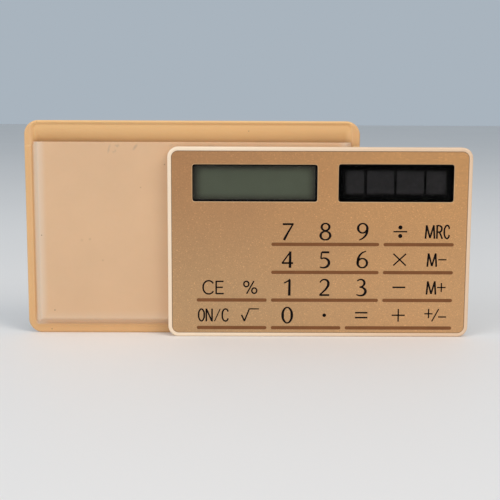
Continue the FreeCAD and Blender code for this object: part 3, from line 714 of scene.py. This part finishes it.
def makeCreamPaint(settings):
    paint = Paint("creamPlastic", settings["litLeftColour"], settings["roughness"])
    x, _, _ = paint.axes()
    # painted light and shade: the colour runs from the lit left to the shaded right
    across = paint.ramp(x, frameLow.x * mm, frameHigh.x * mm)
    age = paint.ramp(paint.noise(settings["ageScale"], 3.0), *settings["ageSpread"], -settings["aged"],
                     settings["aged"])
    paint.colour(paint.mix(paint.math("ADD", across, age), settings["litLeftColour"], settings["shadedRightColour"]))
    paint.roughness(paint.cloud(settings["glossScale"], settings["roughness"] - settings["glossChange"],
                                settings["roughness"] + settings["glossChange"]))
    paint.grain(*settings["grain"])
    return paint.material


creamPaint = makeCreamPaint(creamRim)


def hollowSide(mesh, face, settings, recess, inwards):
    # rim, rounded lip, wall down to the shelf, and the shelf; returns the shelf's inner edges
    rim = settings["rimWidth"] - settings["outerRound"]
    bmesh.ops.inset_individual(mesh, faces=[face], thickness=rim, use_even_offset=True)
    lipEdges = list(face.edges)
    floor = pushFaces(mesh, [face], inwards * recess)[0]
    if face.is_valid:
        bmesh.ops.delete(mesh, geom=[face], context="FACES_ONLY")
    bevelEdges(mesh, [edge for edge in lipEdges if edge.is_valid], settings["innerRound"],
               settings["innerSteps"])
    bmesh.ops.inset_individual(mesh, faces=[floor], thickness=settings["ledge"], use_even_offset=True)
    edges = list(floor.edges)
    bmesh.ops.delete(mesh, geom=[floor], context="FACES_ONLY")
    return edges


def makeRim(settings):
    centre, size = outline(frameLow, frameHigh)
    mesh = bmesh.new()
    front = roundedFace(mesh, centre, size, settings["cornerRadius"], frameLow.y, settings["cornerSteps"])
    pushFaces(mesh, [front], frameHigh.y - frameLow.y)
    turnOutwards(mesh)
    outer = edgesAt(mesh, frameLow.y) + edgesAt(mesh, frameHigh.y)
    bevelEdges(mesh, outer, settings["outerRound"], settings["outerSteps"])
    square = 0.99  # the front and back faces, not the rounded ones
    faces = sorted((face for face in mesh.faces if abs(face.normal.y) > square),
                   key=lambda face: face.calc_center_median().y)
    frontFace, backFace = faces[0], faces[-1]
    frontEdges = hollowSide(mesh, frontFace, settings, settings["recess"], 1)
    backEdges = hollowSide(mesh, backFace, settings, settings["backRecess"], -1)
    bmesh.ops.bridge_loops(mesh, edges=frontEdges + backEdges)
    turnOutwards(mesh)
    smoothFaces(mesh)
    finishPiece(mesh, "rim", "calculator", [creamPaint], ["frame"])


makeRim(creamRim)
print("rim made")


# soft vinyl slip case: two formed sheets

vinylCase = {
    "sheet": 0.5,
    "cornerRadius": 4.0,
    "pocketRadius": 1.5,
    "border": 2.25,
    "borderBottom": 2.6,
    "borderTop": 0.7,
    "slope": 2.0,
    "slopeTop": 8.0,
    "depth": 1.7,
    "sag": 0.35,  # how far the empty middle has sunk
    "sagRise": 1.4,  # how soon above the floor
    "beadHeight": 0.15,
    "beadPlace": -0.40,  # in from the pocket's rim
    "beadWidth": 0.24,
    "grooveDepth": 0.20,
    "groovePlace": 0.1,
    "grooveWidth": 0.22,
    "edgeDrop": 0.25,
    "edgeRound": 0.35,
    "lip": 0.40,  # front of the back sheet's rim above the mouth
    "lipStart": 0.1,
    "lipSoft": 0.7,
    "beadBehind": 0.6,  # share of the bead that shows at the back
    "mouthFade": 1.2,
    "mouthReach": 10.0,  # past the mouth, so that nothing slopes there
    "fadeInside": 0.3,
    "thinnest": 0.06,
    "backGap": 0.01,  # the front sheet's back stays off the weld
    "sheetLoss": 0.02,
    "columns": 150,
    "rows": 110,
    "denseEdge": 6.0,
    "denseShare": 0.27,
    "colour": (0.768, 0.438, 0.190),
    # painted light: the strip above the mouth is lighter than the border, against the shade of the recess it
    # lies in
    "stripLitColour": (0.862, 0.508, 0.215),
    "frosted": (0.732, 0.460, 0.262),
    # painted highlight on the pocket's slopes
    "slopeHighlight": (0.748, 0.560, 0.402),
    "scuff": (0.300, 0.230, 0.180),
    "speck": (0.080, 0.030, 0.015),
    "through": 1000,  # marks reach through the front sheet, whose back is hidden
    "skin": 0.45,  # and this deep into the back sheet
    "borderSoft": 0.35,  # half the soft change from border to pocket
    "mouthSoft": 0.1,
    "stripFade": 1.2,
    "cloudScale": 55.0,
    "cloudSpread": (0.3, 0.75),
    "deeper": 0.93,
    "frostDeeper": 0.95,
    "highlightRise": 0.7,
    "sideHighlight": (1.8, 4.2, 1.0),  # whole up to, gone at, and how much of it
    "lowHighlight": (1.6, 4.6, 0.5),
    "highlightShare": 0.8,
    "patchScale": 700.0,
    "patchSpread": (0.30, 0.52),
    "softness": 0.12,  # light that goes through the skin
    "softReach": 0.0008,
    "softTint": (1.0, 0.6, 0.35),
    "roughness": 0.48,
    "glossChange": 0.08,
    "glossScale": 900.0,
    "grain": (1800.0, 0.18, 0.00004),
}
caseMiddle = (backLow.x + backHigh.x) / 2
caseHalf = (backHigh.x - backLow.x) / 2
caseTop = backHigh.z
mouthUp = panelHigh.z
weldDepth = panelHigh.y  # where the two sheets meet


def roundCorners(mesh, radius, corners):
    # pull a grid's square corners onto quarter circles
    whole = 1.0001
    for vert in mesh.verts:
        for cx, cz, sx, sz in corners:
            u = (vert.co.x - cx) * sx / radius
            v = (vert.co.z - cz) * sz / radius
            if 0 < u <= whole and 0 < v <= whole:
                vert.co.x = cx + sx * radius * u * math.sqrt(1 - v * v / 2)
                vert.co.z = cz + sz * radius * v * math.sqrt(1 - u * u / 2)
                break


def gatherLines(value, length, edge, share):
    # moves an even grid line so that the lines lie close together near both ends
    part = value / length
    if part < share:
        return edge * part / share
    if part > 1 - share:
        return length - edge * (1 - part) / share
    return edge + (length - 2 * edge) * (part - share) / (1 - 2 * share)


def caseGrid(top, settings, roundTop):
    # upright grid of the case's width, from the floor to the given height
    mesh = bmesh.new()
    place = standingAt(caseMiddle, 0, top / 2) @ Matrix.Diagonal((2 * caseHalf, top, 1, 1))
    bmesh.ops.create_grid(mesh, x_segments=settings["columns"], y_segments=settings["rows"], size=0.5,
                          matrix=place)
    left = caseMiddle - caseHalf
    for vert in mesh.verts:
        vert.co.x = left + gatherLines(vert.co.x - left, 2 * caseHalf, settings["denseEdge"],
                                       settings["denseShare"])
        vert.co.z = gatherLines(vert.co.z, top, settings["denseEdge"], settings["denseShare"])
    radius = settings["cornerRadius"]
    corners = [(caseMiddle + side * (caseHalf - radius), radius, side, -1) for side in (-1, 1)]
    if roundTop:
        corners += [(caseMiddle + side * (caseHalf - radius), top - radius, side, 1) for side in (-1, 1)]
    roundCorners(mesh, radius, corners)
    return mesh


def borderDistance(x, z, top, settings):
    # how far inside the welded border a point lies
    return insideDistance(x, z, caseMiddle - caseHalf + settings["border"],
                          caseMiddle + caseHalf - settings["border"],
                          settings["borderBottom"], top, settings["pocketRadius"])


def hump(distance, middle, width):
    return math.exp(-((distance - middle) / width) ** 2)


def weldForms(x, z, inside, top, settings):
    # height of the bead beside the pocket, and how much is rounded off at the outer edge
    bead = settings["beadHeight"] * hump(inside, settings["beadPlace"], settings["beadWidth"])
    edge = insideDistance(x, z, caseMiddle - caseHalf, caseMiddle + caseHalf, 0, top,
                          settings["cornerRadius"])
    return bead, settings["edgeDrop"] * (1 - smoothStep(edge / settings["edgeRound"]))


def formedDepth(x, z, inside, topShape, settings):
    # how deep the pocket is formed; the empty middle has sunk a little
    across = (x - caseMiddle) / caseHalf
    sunk = max(0.0, 1 - across * across) * smoothStep(settings["sagRise"] * z / caseTop)
    return (settings["depth"] - settings["sag"] * sunk) * smoothStep(inside / settings["slope"]) * topShape


def finishPanel(mesh, name, paint, node):
    turnOutwards(mesh)
    for face in mesh.faces:
        face.smooth = True
    finishPiece(mesh, name, "slip_case", [paint], [node])


def makeFrontPanel(settings):
    mesh = caseGrid(mouthUp, settings, False)
    openTop = mouthUp + settings["mouthReach"]
    for vert in mesh.verts:
        x, z = vert.co.x, vert.co.z
        inside = borderDistance(x, z, openTop, settings)
        bead, rounding = weldForms(x, z, inside, openTop, settings)
        groove = settings["grooveDepth"] * hump(inside, settings["groovePlace"], settings["grooveWidth"])
        fade = 1.0
        if inside < settings["fadeInside"]:
            fade = smoothStep((mouthUp - z) / settings["mouthFade"])
        border = settings["sheet"] + bead - rounding - groove
        dish = formedDepth(x, z, inside, 1.0, settings)
        vert.co.y = weldDepth - max(border * fade + dish, settings["thinnest"])
    back, _ = extrudeFaces(mesh, mesh.faces)
    for vert in back:
        vert.co.y = min(weldDepth - settings["backGap"],
                        vert.co.y + settings["sheet"] - settings["sheetLoss"])
    finishPanel(mesh, "caseFront", frontVinyl, "case_front_panel")


def spot(point):
    # names a place on the panel, for the depth behind it
    return round(point.x, 4), round(point.z, 4)


def makeBackPanel(settings):
    mesh = caseGrid(caseTop, settings, True)
    topRim = caseTop - settings["borderTop"]
    depths = {}
    for vert in mesh.verts:
        x, z = vert.co.x, vert.co.z
        inside = borderDistance(x, z, topRim, settings)
        bead, rounding = weldForms(x, z, inside, caseTop, settings)
        # the lip grows from two fades below the mouth
        above = smoothStep((z - mouthUp) / settings["mouthFade"] + 2)
        lip = above * (1 - smoothStep((inside + settings["lipStart"]) / settings["lipSoft"]))
        topShape = smoothStep((topRim - z) / settings["slopeTop"])
        sides = borderDistance(x, z, caseTop + settings["mouthReach"], settings)
        dish = formedDepth(x, z, sides, topShape, settings)
        behind = dish + settings["sheet"] + settings["beadBehind"] * bead - rounding
        depths[spot(vert.co)] = weldDepth + behind
        vert.co.y = weldDepth + dish - lip * (settings["lip"] + bead - rounding)
    back, _ = extrudeFaces(mesh, mesh.faces)
    for vert in back:
        vert.co.y = depths[spot(vert.co)]
    finishPanel(mesh, "caseBack", backVinyl, "case_back_panel")


# marks on the vinyl, in millimetres: across, depth, up, radius, darkness
frontMarks = [
    (-78.9, 3.0, 28.6, 0.20, 0.75), (-75.6, 3.0, 6.9, 0.20, 0.90), (-76.9, 3.0, 1.0, 0.20, 0.90),
    (-43.8, 3.0, 48.8, 0.25, 0.45), (-50.6, 3.0, 42.3, 0.25, 0.30), (-65.2, 3.0, 27.5, 0.45, 0.16),
    (-61.6, 3.0, 21.4, 0.35, 0.16), (-67.5, 3.0, 27.2, 0.50, 0.10),
]
backMarks = [(-79.8, 3.8, 60.6, 0.22, 0.75), (-20.0, 4.15, 58.2, 0.22, 0.55)]
# grey scuffs: across, up, half width, half height, darkness, lean in degrees
vinylScuffs = [
    (-59.4, 53.2, 0.40, 1.6, 0.30, 15), (-57.1, 54.0, 0.75, 0.9, 0.34, 35),
    (-57.8, 52.6, 0.70, 0.9, 0.28, 40), (-52.0, 53.7, 0.50, 1.3, 0.36, 35),
    (-41.2, 54.2, 1.60, 0.5, 0.22, 0), (-30.5, 54.0, 1.20, 0.6, 0.30, 10),
]


def markMask(paint, place, size, dark, lean=0):
    # a soft oval mark; place and size are across, depth and up in millimetres
    node = paint.nodes.new("ShaderNodeMapping")
    node.vector_type = "TEXTURE"
    node.inputs["Location"].default_value = [part * mm for part in place]
    node.inputs["Rotation"].default_value = (0, math.radians(lean), 0)
    node.inputs["Scale"].default_value = [part * mm for part in size]
    paint.links.new(paint.place, node.inputs["Vector"])
    reach = paint.nodes.new("ShaderNodeVectorMath")
    reach.operation = "LENGTH"
    paint.links.new(node.outputs["Vector"], reach.inputs[0])
    core, rim = 0.2, 1.2  # parts of the radius
    return paint.ramp(reach.outputs["Value"], core, rim, dark, 0.0)


def slopeHighlightBand(paint, value, border, inwards, settings, reach):
    # painted highlight along a slope, from the border towards the middle
    whole, gone, share = reach
    step = inwards * mm
    return paint.times(paint.ramp(value, border, border + settings["highlightRise"] * step),
                       paint.ramp(value, border + gone * step, border + whole * step, 0.0, share))


def makeVinylPaint(settings, name, marks, markReach, scuffs):
    paint = Paint(name, settings["colour"], settings["roughness"],
                  Subsurface_Weight=settings["softness"], Subsurface_Scale=settings["softReach"])
    paint.shader.inputs["Subsurface Radius"].default_value = settings["softTint"]
    x, _, z = paint.axes()
    left = (caseMiddle - caseHalf + settings["border"]) * mm
    right = (caseMiddle + caseHalf - settings["border"]) * mm
    bottom, mouth = settings["borderBottom"] * mm, mouthUp * mm
    soft, mouthSoft = settings["borderSoft"] * mm, settings["mouthSoft"] * mm
    inSide = paint.band(x, left, right, soft, soft)
    inHigh = paint.times(paint.ramp(z, bottom - soft, bottom + soft),
                         paint.ramp(z, mouth + mouthSoft, mouth - mouthSoft))
    panel = paint.times(inSide, inHigh)
    cloud = paint.ramp(paint.noise(settings["cloudScale"], 4.0, 0.6), *settings["cloudSpread"])
    # painted light: above the mouth the colour fades up to the lighter strip colour, which offsets the shade
    # of the recess there
    strip = paint.times(paint.ramp(z, mouth, (mouthUp + settings["stripFade"]) * mm), inSide)
    frost = paint.mix(cloud, settings["frosted"], shaded(settings["frosted"], settings["frostDeeper"]))
    plain = paint.mix(cloud, settings["colour"], shaded(settings["colour"], settings["deeper"]))
    base = paint.mix(panel, paint.mix(strip, plain, settings["stripLitColour"]), frost)
    # the slopes are painted whiter: a painted highlight where they catch the light and the floor's bounce
    sides = paint.math("MAXIMUM", slopeHighlightBand(paint, x, left, 1, settings, settings["sideHighlight"]),
                       slopeHighlightBand(paint, x, right, -1, settings, settings["sideHighlight"]))
    low = slopeHighlightBand(paint, z, bottom, 1, settings, settings["lowHighlight"])
    slopeHighlight = paint.times(paint.math("MAXIMUM", sides, low), panel)
    base = paint.mix(paint.times(slopeHighlight, settings["highlightShare"]), base, settings["slopeHighlight"])
    patchy = paint.ramp(paint.noise(settings["patchScale"]), *settings["patchSpread"])
    for across, upwards, wide, high, dark, lean in scuffs:
        mask = markMask(paint, (across, 0, upwards), (wide, settings["through"], high), dark, lean)
        base = paint.mix(paint.times(mask, patchy), base, settings["scuff"])
    for across, depth, upwards, radius, dark in marks:
        mask = markMask(paint, (across, depth, upwards), (radius, markReach, radius), dark)
        base = paint.mix(mask, base, settings["speck"])
    paint.colour(base)
    paint.roughness(paint.cloud(settings["glossScale"], settings["roughness"] - settings["glossChange"],
                                settings["roughness"] + settings["glossChange"]))
    paint.grain(*settings["grain"], 3.0)
    return paint.material


frontVinyl = makeVinylPaint(vinylCase, "frontVinyl", frontMarks, vinylCase["through"], vinylScuffs)
backVinyl = makeVinylPaint(vinylCase, "backVinyl", backMarks, vinylCase["skin"], [])
makeFrontPanel(vinylCase)
makeBackPanel(vinylCase)
print("slip case made")


# finishes of the nodes that stay as they are

def paintNode(node, material):
    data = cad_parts[node].data
    data.materials.clear()
    data.materials.append(material)


lens = {"tint": (0.01, 0.01, 0.01), "alpha": 0.04, "roughness": 0.04}
cellGlass = {"tint": (0.01, 0.01, 0.01), "alpha": 0.03, "roughness": 0.03}
displayGlass = {"tint": (0.7, 0.78, 0.72), "alpha": 0.3, "roughness": 0.05}


def makeClearPaint(name, tint, alpha, roughness, smear=0.05, smearScale=400.0):
    paint = Paint(name, tint, roughness, Alpha=alpha, Specular_IOR_Level=0.3)
    paint.roughness(paint.cloud(smearScale, roughness, roughness + smear))
    return paint.material


displaySettings = {
    "colour": (0.092, 0.104, 0.069),
    # painted shade: the colour the film darkens to near the window's edges
    "edge": (0.044, 0.040, 0.029),
    "sideFade": 0.0034,
    "endFade": 0.0026,
    "borderRight": 0.00058,  # a black line painted along the right and the bottom
    "borderBottom": 0.00050,
    "borderSoft": 0.00006,
    "ink": (0.003, 0.003, 0.003),
    "roughness": 0.4,
    "gloss": 0.12,
    "cloudScale": 250.0,
    "cloudLow": 0.88,
}


def makeDisplayPaint(settings):
    # grey-green film, painted darker towards the edges of its window as painted shade of the recess walls
    paint = Paint("displayFilm", settings["colour"], settings["roughness"],
                  Specular_IOR_Level=settings["gloss"])
    x, _, z = paint.axes()
    left, right, bottom, top = (value * mm for value in displayWindow)
    openPart = paint.times(paint.band(x, left, right, 0, settings["sideFade"]),
                           paint.band(z, bottom, top, 0, settings["endFade"]))
    cloud = paint.cloud(settings["cloudScale"], settings["cloudLow"], 1.0)
    film = paint.mix(paint.times(openPart, cloud), settings["edge"], settings["colour"])
    soft = settings["borderSoft"]
    right -= settings["borderRight"]
    bottom += settings["borderBottom"]
    onBlackLine = paint.times(paint.ramp(x, right + soft, right - soft),
                          paint.ramp(z, bottom - soft, bottom + soft))
    paint.colour(paint.mix(onBlackLine, settings["ink"], film))
    return paint.material


cellSettings = {
    "colour": (0.030, 0.028, 0.028),
    "count": 4,
    "divider": 0.00028,  # half the black line between two cells
    "dividerSoft": 0.00012,
    "printOffset": 0.00030,  # the print sits a little to the right
    # painted shade: the soft black margin round the grey of the cells
    "shadedMargin": (0.0004, 0.0004, 0.0004),
    "left": 0.0074,  # where the grey of the cells shows, in metres
    "right": 0.0357,
    "bottom": 0.0408,
    "top": 0.0473,
    "soft": 0.0006,
    "roughness": 0.4,
    "gloss": 0.01,
    "cloudScale": 500.0,
    "cloudLow": 0.8,
    "grain": (2500.0, 0.1, 0.00001),
}


def makeCellPaint(settings):
    # thin film silicon, painted black towards the window's edges as painted shade of the recess
    paint = Paint("darkSilicon", settings["colour"], settings["roughness"],
                  Specular_IOR_Level=settings["gloss"])
    x, _, z = paint.axes()
    soft = settings["soft"]
    inside = paint.times(paint.band(x, settings["left"], settings["right"], soft, soft),
                         paint.band(z, settings["bottom"], settings["top"], soft, soft))
    cloud = paint.cloud(settings["cloudScale"], settings["cloudLow"], 1.0)
    cellsLow, cellsHigh = nodeBox("solar_cells")
    pitch = (cellsHigh.x - cellsLow.x) / settings["count"] * mm
    middle = (cellsLow.x + cellsHigh.x) / 2 * mm + settings["printOffset"]
    nearest = paint.math("PINGPONG", paint.math("SUBTRACT", x, middle), pitch / 2)
    divided = paint.ramp(nearest, settings["divider"], settings["divider"] + settings["dividerSoft"])
    grey = paint.times(inside, paint.times(cloud, divided))
    paint.colour(paint.mix(grey, settings["shadedMargin"], settings["colour"]))
    paint.grain(*settings["grain"])
    return paint.material


def grainPaint(name, colour, roughness, grain=1500.0, depth=0.00003, vary=0.12, **sockets):
    # plain moulded, printed or cast finish with fine grain
    paint = Paint(name, colour, roughness, **sockets)
    tone = paint.cloud(grain / 10)
    paint.colour(paint.mix(tone, colour, shaded(colour, 1 - vary)))
    paint.grain(grain, 0.2, depth, 3.0)
    return paint.material


backPlate = {
    "colour": (0.60, 0.50, 0.38),
    "deeper": 0.86,
    "roughness": 0.36,
    "smoother": 0.1,
    "rougher": 0.12,
    "metallic": 0.9,
    "brush": (60, 400, 9000),  # the marks are long across and thin upwards
    "brushBump": (0.12, 0.00001),
}


def makeBrushedPaint(settings):
    # satin metal with long brush marks
    colour, roughness = settings["colour"], settings["roughness"]
    paint = Paint("backPlate", colour, roughness, Metallic=settings["metallic"])
    marks = paint.noise(1.0, 4.0, 0.7, paint.stretched(settings["brush"]))
    paint.roughness(paint.ramp(marks, *noiseSpread, roughness - settings["smoother"],
                               roughness + settings["rougher"]))
    paint.colour(paint.mix(paint.ramp(marks, *noiseSpread), colour, shaded(colour, settings["deeper"])))
    paint.bump(marks, *settings["brushBump"])
    return paint.material


blackFoam = {"colour": (0.003, 0.003, 0.003), "grain": 3000.0, "Specular_IOR_Level": 0.03}
finishes = {
    "back_cover": makeBrushedPaint(backPlate),
    "insulating_sheet": grainPaint("insulator", (0.62, 0.55, 0.38), 0.4),
    "circuit_board": grainPaint("solderMask", (0.03, 0.16, 0.07), 0.4),
    "key_contacts": grainPaint("carbonPads", (0.03, 0.03, 0.032), 0.6),
    "key_guide": grainPaint("guidePlastic", (0.62, 0.60, 0.56), 0.5),
    "key_deck": grainPaint("deckPlastic", (0.55, 0.36, 0.20), 0.5),
    "face_adhesive": grainPaint("glueSheet", (0.003, 0.003, 0.003), 0.8, Specular_IOR_Level=0.05),
    "processor_cap": grainPaint("castResin", (0.012, 0.012, 0.013), 0.25, grain=500.0),
    "chip_capacitors": grainPaint("tanCeramic", (0.42, 0.28, 0.15), 0.45),
    "chip_resistors": grainPaint("blackCeramic", (0.02, 0.02, 0.022), 0.4),
    "clamp_diode": grainPaint("diodeResin", (0.015, 0.015, 0.015), 0.4),
    "lcd_rear_polariser": grainPaint("rearFilm", (0.10, 0.11, 0.09), 0.4),
    "lcd_rear_glass": makeClearPaint("rearGlass", **displayGlass),
    "lcd_front_glass": makeClearPaint("frontGlass", **displayGlass),
    "lcd_front_polariser": makeDisplayPaint(displaySettings),
    "lcd_connector": grainPaint("stripRubber", (0.05, 0.05, 0.05), 0.7),
    "display_lens": makeClearPaint("displayLens", **lens),
    "display_gasket": grainPaint("displayFoam", roughness=0.8, **blackFoam),
    "solar_pad": grainPaint("foamPad", roughness=0.85, **blackFoam),
    "solar_contacts": grainPaint("contactRubber", (0.03, 0.03, 0.03), 0.7),
    "solar_cells": makeCellPaint(cellSettings),
    "solar_glass": makeClearPaint("cellGlass", **cellGlass),
    "solar_lens": makeClearPaint("solarLens", **lens),
    "solar_gasket": grainPaint("solarFoam", roughness=0.8, **blackFoam),
    "key_row_bars": grainPaint("brownInk", (0.216, 0.083, 0.029), 0.6, grain=2500.0,
                               Specular_IOR_Level=0.15),
}
for node, material in finishes.items():
    paintNode(node, material)
print("finishes given")
